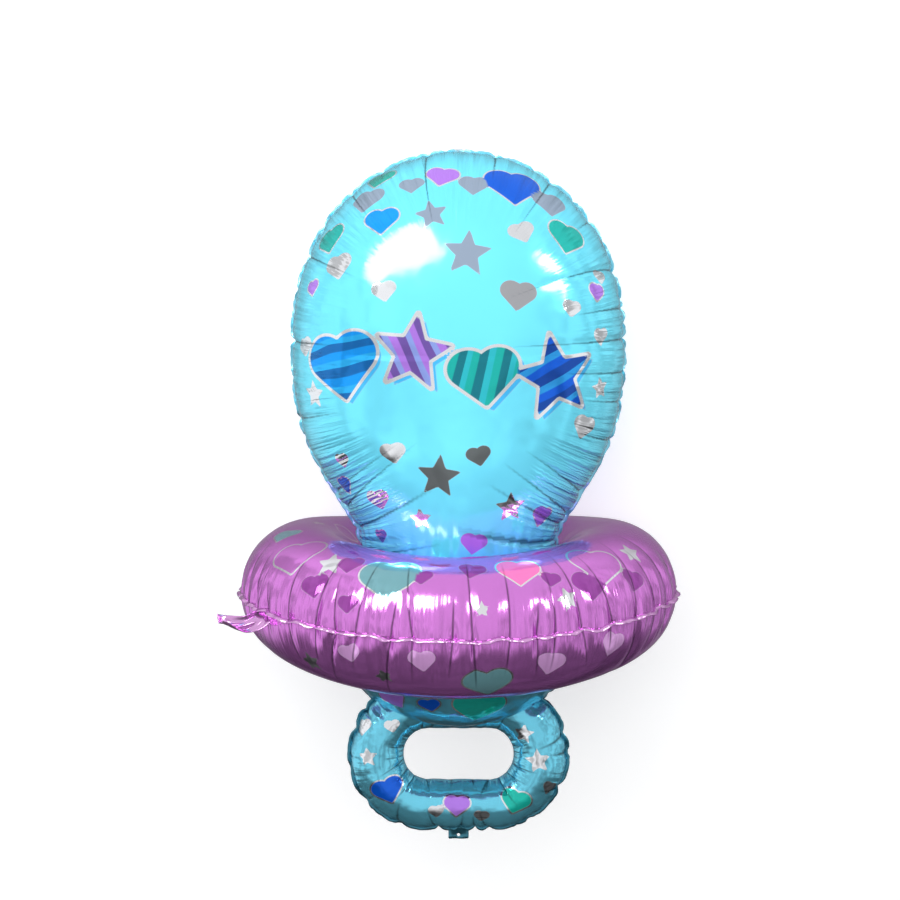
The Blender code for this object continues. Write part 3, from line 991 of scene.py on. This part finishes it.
class Printing:
    """What the prints put at each point of one piece."""

    def __init__(self, points, normals, film):
        self.film = film
        self.points = points
        self.normals = normals
        self.tree = point_tree(points)
        self.pixels = photo_pixels(points)
        self.nearness = points @ CAMERA_BACK
        count = len(points)
        self.distance = np.full(count, 1.0)
        self.rim = np.zeros(count)
        self.tint = np.tile(SILVER, (count, 1))
        self.big_distance = np.full(count, 1.0)
        self.big_tint = np.tile(SILVER, (count, 1))
        self.big_place = np.zeros((count, 3))

    def seen_at(self, pixel):
        """The point of the piece that the photograph shows at a pixel."""
        gap = np.hypot(self.pixels[:, 0] - pixel[0], self.pixels[:, 1] - pixel[1])
        near = np.flatnonzero(gap < max(3.0, gap.min() * 1.2))
        return near[np.argmax(self.nearness[near] * 400 - gap[near])]

    def around(self, index, width, turn):
        """Points near a place, and where they are on the film about it."""
        centre, normal = self.points[index], self.normals[index]
        near = np.array([found[1] for found in self.tree.find_range(centre, width * 1.1)])
        near = near[self.normals[near] @ normal > 0.1]
        right = np.cross(LONG, normal)
        if np.linalg.norm(right) < 0.05:
            right = np.array((1.0, 0.0, 0.0))
        right = unit(right)
        up = np.cross(normal, right)
        away = self.points[near] - centre
        a, b = away @ right, away @ up
        cos, sin = math.cos(math.radians(turn)), math.sin(math.radians(turn))
        return near, a * cos + b * sin, b * cos - a * sin, right

    def width_on_film(self, index, pixels):
        """A width in the photograph as a width on the film, which may lean away."""
        right = self.around(index, SMALL_PATCH, 0)[3]
        return pixels * METRES_PER_PIXEL / max(abs(right @ CAMERA_RIGHT), MOST_LEAN)

    def outline(self, index, shape, width, turn):
        """Points near a place, where they are about it, and their distance from a shape there."""
        near, a, b, _ = self.around(index, width, turn)
        distance = (star_distance if shape == "star" else heart_distance)(a, b, width)
        return near, a, b, distance

    def place(self, index, shape, tint, width, turn, rim):
        near, _, _, distance = self.outline(index, shape, width, turn)
        keep = distance - rim < self.distance[near] - self.rim[near]
        picked = near[keep]
        self.distance[picked] = distance[keep]
        self.rim[picked] = rim
        self.tint[picked] = self.film.tint if tint == FILM else tint

    def place_seen(self, mark):
        index = self.seen_at(mark.pixel)
        width = self.width_on_film(index, mark.width)
        self.place(index, mark.shape, mark.tint, width, mark.turn, mark.rim)

    def place_big(self, mark, phase):
        """A big striped print with its shadow; the phase sets its stripes apart from the others'."""
        shadow = tuple(p + s for p, s in zip(mark.pixel, SHADOW_SHIFT))
        self.place_seen(mark._replace(tint=SHADOW_AZURE, pixel=shadow, rim=0.0))
        index = self.seen_at(mark.pixel)
        width = self.width_on_film(index, mark.width)
        near, a, b, distance = self.outline(index, mark.shape, width, mark.turn)
        keep = distance < self.big_distance[near]
        picked = near[keep]
        self.big_distance[picked] = distance[keep]
        self.big_tint[picked] = mark.tint
        lean = phase * STRIPE_LEAN
        across = b[keep] * math.cos(lean) + a[keep] * math.sin(lean)
        self.big_place[picked] = np.column_stack([a[keep], across, np.full(keep.sum(), phase)])

    def scatter(self, rng, allowed, spacing, kinds, smallest, largest, tries):
        """Prints at random places among the allowed points, at least a spacing apart."""
        taken = []
        places = np.flatnonzero(allowed)
        for index in rng.choice(places, size=min(tries, len(places)), replace=False):
            where = self.points[index]
            shape, tint, rim = kinds[rng.integers(len(kinds))]
            width = rng.uniform(smallest, largest)
            clear = all(np.linalg.norm(where - other) > spacing for other in taken)
            nearby = [found[1] for found in self.tree.find_range(where, spacing * 0.62)]
            clear = clear and self.distance[nearby].min() > PRINT_GAP
            if clear and self.big_distance[nearby].min() > BIG_PRINT_GAP:
                taken.append(where)
                self.place(index, shape, tint, width, rng.uniform(-35, 35), rim)

    def store(self, mesh):
        """Writes the prints to a mesh's attributes."""
        bare = np.isclose(self.tint, SILVER).all(axis=1)
        metal = np.where(bare, 1.0, INK_METAL)
        metal[np.isclose(self.tint, self.film.tint).all(axis=1)] = self.film.metal
        stored = {
            "print_distance": self.distance, "print_rim": self.rim, "print_metal": metal,
            "big_distance": self.big_distance, "print_tint": self.tint,
            "big_tint": self.big_tint, "big_place": self.big_place}
        for name, values in stored.items():
            store(mesh, name, values)


def store(mesh, name, values):
    """Writes one number or one vector for each point to a mesh's attribute."""
    kind, part = ("FLOAT", "value") if values.ndim == 1 else ("FLOAT_VECTOR", "vector")
    layer = mesh.attributes.new(name, kind, "POINT")
    layer.data.foreach_set(part, values.astype(np.float32).ravel())


BODY_KINDS = (
    ("heart", SILVER, 0.0), ("star", SILVER, 0.0), ("heart", SILVER, 0.0),
    ("heart", TEAL, THIN_RIM), ("heart", VIOLET, THIN_RIM), ("heart", DEEP_BLUE, THIN_RIM),
    ("star", SILVER, 0.0), ("heart", AZURE, THIN_RIM))
RING_KINDS = (
    ("heart", DARK_PURPLE, 0.0), ("heart", PALE_PURPLE, 0.0), ("star", SILVER, 0.0),
    ("heart", FILM, OUTLINE_RIM), ("heart", DARK_PURPLE, 0.0), ("heart", GREY_TEAL, THIN_RIM),
    ("heart", PINK, THIN_RIM))


# Materials


def new_material(name):
    material = bpy.data.materials.new(name)
    material.use_nodes = True
    return material, material.node_tree.nodes["Principled BSDF"]


class Nodes:
    """Short ways to add and link the nodes of one material or world."""

    def __init__(self, tree):
        self.tree = tree

    def add(self, kind, **settings):
        node = self.tree.nodes.new(kind)
        for name, value in settings.items():
            setattr(node, name, value)
        return node

    def put(self, socket, value):
        if isinstance(value, bpy.types.NodeSocket):
            self.tree.links.new(value, socket)
        else:
            socket.default_value = value

    def read(self, name, output):
        return self.add("ShaderNodeAttribute", attribute_name=name).outputs[output]

    def math(self, operation, a, b=0.0, clamp=False):
        node = self.add("ShaderNodeMath", operation=operation, use_clamp=clamp)
        self.put(node.inputs[0], a)
        self.put(node.inputs[1], b)
        return node.outputs[0]

    def times(self, a, b, clamp=False):
        return self.math("MULTIPLY", a, b, clamp)

    def ramp(self, value, low, high, start=0.0, end=1.0):
        """A straight run from start to end between two values, held outside them."""
        node = self.add("ShaderNodeMapRange")
        for socket, item in enumerate((value, low, high, start, end)):
            self.put(node.inputs[socket], item)
        return node.outputs["Result"]

    def mixed(self, kind, first, output, share, a, b):
        node = self.add("ShaderNodeMix", data_type=kind)
        for socket, value in ((0, share), (first, a), (first + 1, b)):
            self.put(node.inputs[socket], value)
        return node.outputs[output]

    def mix(self, share, a, b):
        """A mix of two colours."""
        return self.mixed("RGBA", 6, 2, share, a, b)

    def blend(self, share, a, b):
        """A mix of two numbers."""
        return self.mixed("FLOAT", 2, 0, share, a, b)

    def noise(self, vector, scale, detail=2.0):
        node = self.add("ShaderNodeTexNoise")
        self.put(node.inputs["Vector"], vector)
        node.inputs["Scale"].default_value = scale
        node.inputs["Detail"].default_value = detail
        return node.outputs["Fac"]

    def scaled(self, vector, size):
        node = self.add("ShaderNodeVectorMath", operation="MULTIPLY")
        self.put(node.inputs[0], vector)
        self.put(node.inputs[1], size)
        return node.outputs[0]


PRINT_EDGE = 0.0005
# Painted shade along deep creases: how much it darkens the colour, and its half width
FOLD_SHADE = 0.8
FOLD_SHADE_HALF_WIDTH = 0.0021
FINE_RIPPLE = 0.35
# Painted shade in the ripples' valleys: how much it darkens the colour
RIPPLE_SHADE = 0.24
NECK_RIPPLE = 3.4
NECK_CROWDING = 0.055
NECK_METAL = 0.6
COARSE_PLEATS = 120.0
FINE_PLEATS = 260.0
FILM_ROUGHNESS = 0.14
PRINT_ROUGHNESS = 0.07
BIG_PRINT_ROUGHNESS = 0.09
BIG_PRINT_METAL = 0.7
COAT = 0.25
COAT_ROUGHNESS = 0.07
STRIPE_WAVE = {"Scale": 12.0, "Distortion": 3.2, "Detail": 1.0, "Detail Scale": 0.8}
DARK_STRIPE = (0.004, 0.03, 0.16, 1.0)
LIGHT_STRIPE = (0.05, 0.62, 0.90, 1.0)

# A film: its material's name, tint, metal share, reach and height of its ripples, the tint painted on
# its welded edge, tab and tail as painted shade (bulb, handle) and painted sheen (ring), and the spread
# and height of its dents
Film = namedtuple("Film", "name tint metal ripple_reach ripple_height edge_tint dent_scale dent_height")
BULB_FILM = Film(
    "bulb_film", (0.17, 0.79, 0.99), 0.46, 0.160, 0.0078, (0.26, 0.66, 0.80), 15.0, 0.0026)
# The handle's tint is the bulb's cyan painted a little darker: painted shade
HANDLE_FILM = Film(
    "handle_film", (0.18, 0.67, 0.87), 0.77, 0.045, 0.0070, (0.05, 0.21, 0.28), 30.0, 0.0036)
RING_FILM = Film(
    "ring_film_finish", (0.68, 0.22, 0.71), 0.82, 0.080, 0.0032, (0.70, 0.36, 0.70), 16.0, 0.0014)


def foil(film):
    """Metal film: tinted or bare, with its prints, ripples that run in from the seams, painted shade
    along deep creases and in the ripples' valleys, and painted shade and sheen on its welded edges.
    """
    material, shader = new_material(film.name)
    nodes = Nodes(material.node_tree)
    distance = nodes.read("print_distance", "Fac")
    rim = nodes.read("print_rim", "Fac")
    inside = nodes.ramp(distance, PRINT_EDGE, -PRINT_EDGE)
    rimmed = nodes.ramp(nodes.math("SUBTRACT", distance, rim), PRINT_EDGE, -PRINT_EDGE)
    silver = (*SILVER, 1.0)
    # Welded edges, the tab and the tail take the edge tint: painted shade on the bulb and handle,
    # painted sheen on the ring and its tail
    tint = nodes.mix(nodes.read("edge", "Fac"), (*film.tint, 1.0), (*film.edge_tint, 1.0))
    colour = nodes.mix(rimmed, tint, silver)
    colour = nodes.mix(inside, colour, nodes.read("print_tint", "Vector"))
    rough = nodes.blend(rimmed, FILM_ROUGHNESS, PRINT_ROUGHNESS)
    pleated = nodes.add("ShaderNodeSeparateXYZ")
    nodes.put(pleated.inputs[0], nodes.read("fold_shade", "Vector"))
    dulled = nodes.ramp(pleated.outputs[2], 1.0, 1.0 + NECK_RIPPLE, film.metal, film.metal * NECK_METAL)
    metal = nodes.blend(rimmed, dulled, 1.0)
    metal = nodes.blend(inside, metal, nodes.read("print_metal", "Fac"))
    big = nodes.read("big_distance", "Fac")
    big_rimmed = nodes.ramp(big, BIG_RIM + PRINT_EDGE, BIG_RIM - PRINT_EDGE)
    big_inside = nodes.ramp(big, PRINT_EDGE, -PRINT_EDGE)
    place = nodes.read("big_place", "Vector")
    wave = nodes.add("ShaderNodeTexWave", wave_type="BANDS", bands_direction="Y", wave_profile="SAW")
    nodes.put(wave.inputs["Vector"], place)
    for socket, value in STRIPE_WAVE.items():
        wave.inputs[socket].default_value = value
    stripe = nodes.ramp(wave.outputs["Fac"], 0.60, 0.64)
    big_tint = nodes.read("big_tint", "Vector")
    striped = nodes.mix(stripe, big_tint, nodes.mix(0.62, big_tint, DARK_STRIPE))
    lighter = nodes.ramp(wave.outputs["Fac"], 0.30, 0.26)
    striped = nodes.mix(lighter, striped, nodes.mix(0.42, big_tint, LIGHT_STRIPE))
    colour = nodes.mix(big_rimmed, colour, silver)
    colour = nodes.mix(big_inside, colour, striped)
    rough = nodes.blend(big_rimmed, rough, BIG_PRINT_ROUGHNESS)
    metal = nodes.blend(big_rimmed, metal, 1.0)
    metal = nodes.blend(big_inside, metal, BIG_PRINT_METAL)
    # Painted shade: the colour is darkened along the core of deep creases
    line = nodes.ramp(nodes.math("ABSOLUTE", pleated.outputs[0]), FOLD_SHADE_HALF_WIDTH, 0.0)
    line = nodes.times(line, nodes.times(pleated.outputs[1], 2.4, True))
    colour = nodes.scaled(colour, nodes.ramp(line, 0.0, 1.0, 1.0, 1.0 - FOLD_SHADE))
    off = nodes.read("seam_off", "Fac")
    ripple = nodes.read("ripple", "Vector")
    near = nodes.math("POWER", nodes.ramp(off, film.ripple_reach, 0.0), 1.6)
    near = nodes.times(near, pleated.outputs[2])
    pleats = nodes.noise(ripple, COARSE_PLEATS, 1.0)
    # Painted shade in the ripples' valleys near the seams, which darkens the colour
    ripple_valley_shade = nodes.times(nodes.ramp(pleats, 0.50, 0.34), nodes.times(near, 1.0, True))
    colour = nodes.scaled(colour, nodes.ramp(ripple_valley_shade, 0.0, 1.0, 1.0, 1.0 - RIPPLE_SHADE))
    coarse = nodes.times(nodes.math("SUBTRACT", pleats, 0.5), near)
    fine = nodes.math("SUBTRACT", nodes.noise(ripple, FINE_PLEATS, 1.0), 0.5)
    fine = nodes.times(fine, near)
    height = nodes.math("ADD", coarse, nodes.times(fine, FINE_RIPPLE))
    height = nodes.times(height, film.ripple_height)
    spots = nodes.add("ShaderNodeTexCoord").outputs["Object"]
    dents = nodes.times(nodes.noise(spots, film.dent_scale), film.dent_height)
    height = nodes.math("ADD", height, dents)
    bump = nodes.add("ShaderNodeBump")
    bump.inputs["Strength"].default_value = 1.0
    bump.inputs["Distance"].default_value = 1.0
    nodes.put(bump.inputs["Height"], height)
    nodes.put(shader.inputs["Base Color"], colour)
    nodes.put(shader.inputs["Roughness"], rough)
    nodes.put(shader.inputs["Normal"], bump.outputs["Normal"])
    nodes.put(shader.inputs["Metallic"], metal)
    shader.inputs["Specular Tint"].default_value = (*(0.5 + 0.5 * part for part in film.tint), 1.0)
    shader.inputs["Coat Weight"].default_value = COAT
    shader.inputs["Coat Roughness"].default_value = COAT_ROUGHNESS
    return material


# The room

FLOOR_SIZE = 8.0
FLOOR_WHITE = 0.85
FLOOR_GLOW = 0.44
FLOOR_ROUGHNESS = 0.9
WHITE = (1.0, 1.0, 1.0, 1.0)
BLACK = (0.0, 0.0, 0.0, 1.0)
ROOM_WHITE = (0.98, 0.99, 1.0, 1.0)

# How the room's light runs between two places along an axis, and its levels at the two
PATCH_SCALE = 3.8
PATCHES = (0.44, 0.56, 0.55, 1.2)
TOWARDS_HANDLE = (-0.56, -0.24, 0.07, 0.80)
BULB_LEVEL = 0.84
BULB_START = (-0.35, 0.0)
RIGHT_SIDE = (0.45, 0.85)
LEFT_SIDE = (-0.30, -0.62)
SIDE_START = (-0.50, -0.33)
WHITER_LEFT = (0.0, -0.90, 0.80, 1.15)
DIMMER_BEHIND = (-0.90, -0.45, 0.40, 1.0)


def make_floor():
    material, shader = new_material("white_floor")
    shader.inputs["Base Color"].default_value = (FLOOR_WHITE, FLOOR_WHITE, FLOOR_WHITE, 1.0)
    shader.inputs["Roughness"].default_value = FLOOR_ROUGHNESS
    shader.inputs["Emission Color"].default_value = WHITE
    shader.inputs["Emission Strength"].default_value = FLOOR_GLOW
    model = bmesh.new()
    bmesh.ops.create_grid(model, x_segments=1, y_segments=1, size=FLOOR_SIZE)
    mesh = bpy.data.meshes.new("floor")
    model.to_mesh(mesh)
    model.free()
    mesh.materials.append(material)
    floor = add_object("floor", mesh)
    floor.visible_glossy = False


SOFTBOX_DISTANCE = 2.6
# Softboxes: direction from the bulb's middle in the balloon's axes, width, height, turn about
# that direction in degrees, brightness, and whether the film mirrors it
SOFTBOXES = (
    ("left_softbox", (-0.42, 0.58, 0.68), 1.90, 0.90, 32, 9.0, True),
    ("right_softbox", (0.72, 0.44, 0.53), 0.85, 0.50, -35, 12.0, True),
    ("key_fill", (-0.10, 0.30, 0.95), 2.4, 2.0, 0, 4.0, False),
)


def make_softboxes():
    middle = BULB_CENTRE * LONG
    for name, direction, width, height, turn, brightness, mirrored in SOFTBOXES:
        direction = unit(np.array(direction))
        light = bpy.data.lights.new(name, "AREA")
        light.shape = "RECTANGLE"
        light.size = width
        light.size_y = height
        light.energy = brightness * math.pi * width * height
        lamp = add_object(name, light)
        lamp.visible_glossy = mirrored
        lamp.visible_diffuse = not mirrored
        right = unit(np.cross(LONG, direction))
        up = np.cross(direction, right)
        axes = Matrix(np.column_stack([right, up, direction]).tolist()).to_4x4()
        place = Matrix.Translation(Vector(middle + direction * SOFTBOX_DISTANCE))
        lamp.matrix_world = LYING @ place @ axes @ Matrix.Rotation(math.radians(turn), 4, "Z")


def make_world():
    """A studio in the balloon's axes: white at both sides, pale past the bulb, dark at the handle."""
    world = bpy.data.worlds.new("studio")
    bpy.context.scene.world = world
    world.use_nodes = True
    nodes = Nodes(world.node_tree)
    background = world.node_tree.nodes["Background"]
    towards = nodes.add("ShaderNodeTexCoord").outputs["Generated"]
    shares = []
    for axis in (0, 1, 2):
        dot = nodes.add("ShaderNodeVectorMath", operation="DOT_PRODUCT")
        nodes.put(dot.inputs[0], towards)
        dot.inputs[1].default_value = tuple(LYING_TURN[:, axis])
        shares.append(dot.outputs["Value"])
    across, lengthwise, towards_front = shares
    patches = nodes.ramp(nodes.noise(towards, PATCH_SCALE, 1.0), *PATCHES)
    middle = nodes.times(nodes.ramp(lengthwise, *TOWARDS_HANDLE), patches)
    middle = nodes.blend(nodes.ramp(lengthwise, *BULB_START), middle, BULB_LEVEL)
    side = nodes.math("ADD", nodes.ramp(across, *RIGHT_SIDE), nodes.ramp(across, *LEFT_SIDE), True)
    side = nodes.times(side, nodes.ramp(lengthwise, *SIDE_START))
    whiter = nodes.ramp(across, *WHITER_LEFT)
    level = nodes.blend(side, middle, nodes.times(patches, whiter))
    level = nodes.times(level, nodes.ramp(towards_front, *DIMMER_BEHIND))
    nodes.put(background.inputs["Color"], nodes.mix(level, BLACK, ROOM_WHITE))
    background.inputs["Strength"].default_value = 1.0
    bpy.context.scene.view_settings.view_transform = "Standard"


# Pieces


def finish_piece(name, node, shell, film, marks, scattering, seed):
    """Makes one piece of film with its prints and hands it to the frame."""
    thing = mesh_object(name, shell.points, shell.faces)
    mesh = thing.data
    normals = np.empty(len(mesh.vertices) * 3, dtype=np.float32)
    mesh.vertex_normals.foreach_get("vector", normals)
    upright = normals.reshape(-1, 3) @ LYING_TURN
    printing = Printing(shell.points, upright, film)
    for mark in marks:
        printing.place_seen(mark)
    if name == "nipple_bulb":
        for phase, mark in enumerate(BIG_PRINTS):
            printing.place_big(mark, phase)
    rng = np.random.default_rng(seed)
    unseen = printing.normals @ CAMERA_BACK < -0.05
    printing.scatter(rng, unseen & (shell.edge == 0.0), *scattering)
    printing.store(mesh)
    store(mesh, "seam_off", shell.seam[:, 2])
    ripple = shell.seam * np.array((1.0, 1.0, 0.05))
    if name == "nipple_bulb":
        ripple[:, 1] += NECK_CROWDING * np.tanh((shell.seam[:, 1] - NECK_SIDE_CENTRE) / NECK_SIDE_REACH)
    store(mesh, "ripple", ripple)
    store(mesh, "edge", shell.edge)
    # Stored with the painted fold shade line: how strongly the ripples, their painted shade and their
    # bump show, raised along the neck
    strength = np.ones(len(shell.fold_shade))
    if name == "nipple_bulb":
        strength += NECK_RIPPLE * neck_side(shell.seam[:, 1])
    store(mesh, "fold_shade", np.column_stack([shell.fold_shade, strength]))
    mesh.materials.append(foil(film))
    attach(thing, "root")
    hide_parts(node)


# Prints scattered where the photograph doesn't show the film: spacing, kinds, smallest and
# largest width, and tries
BODY_SCATTER = (0.066, BODY_KINDS, 0.018, 0.044, 500)
RING_SCATTER = (0.060, RING_KINDS, 0.022, 0.046, 700)


def main():
    make_camera()
    make_floor()
    make_softboxes()
    make_world()
    finish_piece("nipple_bulb", "nipple_balloon", bulb_shell(),
                 BULB_FILM, BULB_PRINTS, BODY_SCATTER, 61)
    finish_piece("nipple_handle_end", "nipple_balloon", lower_shell(),
                 HANDLE_FILM, LOWER_PRINTS, BODY_SCATTER, 62)
    finish_piece("ring_film", "ring_balloon", ring_shell(),
                 RING_FILM, RING_PRINTS, RING_SCATTER, 63)


main()
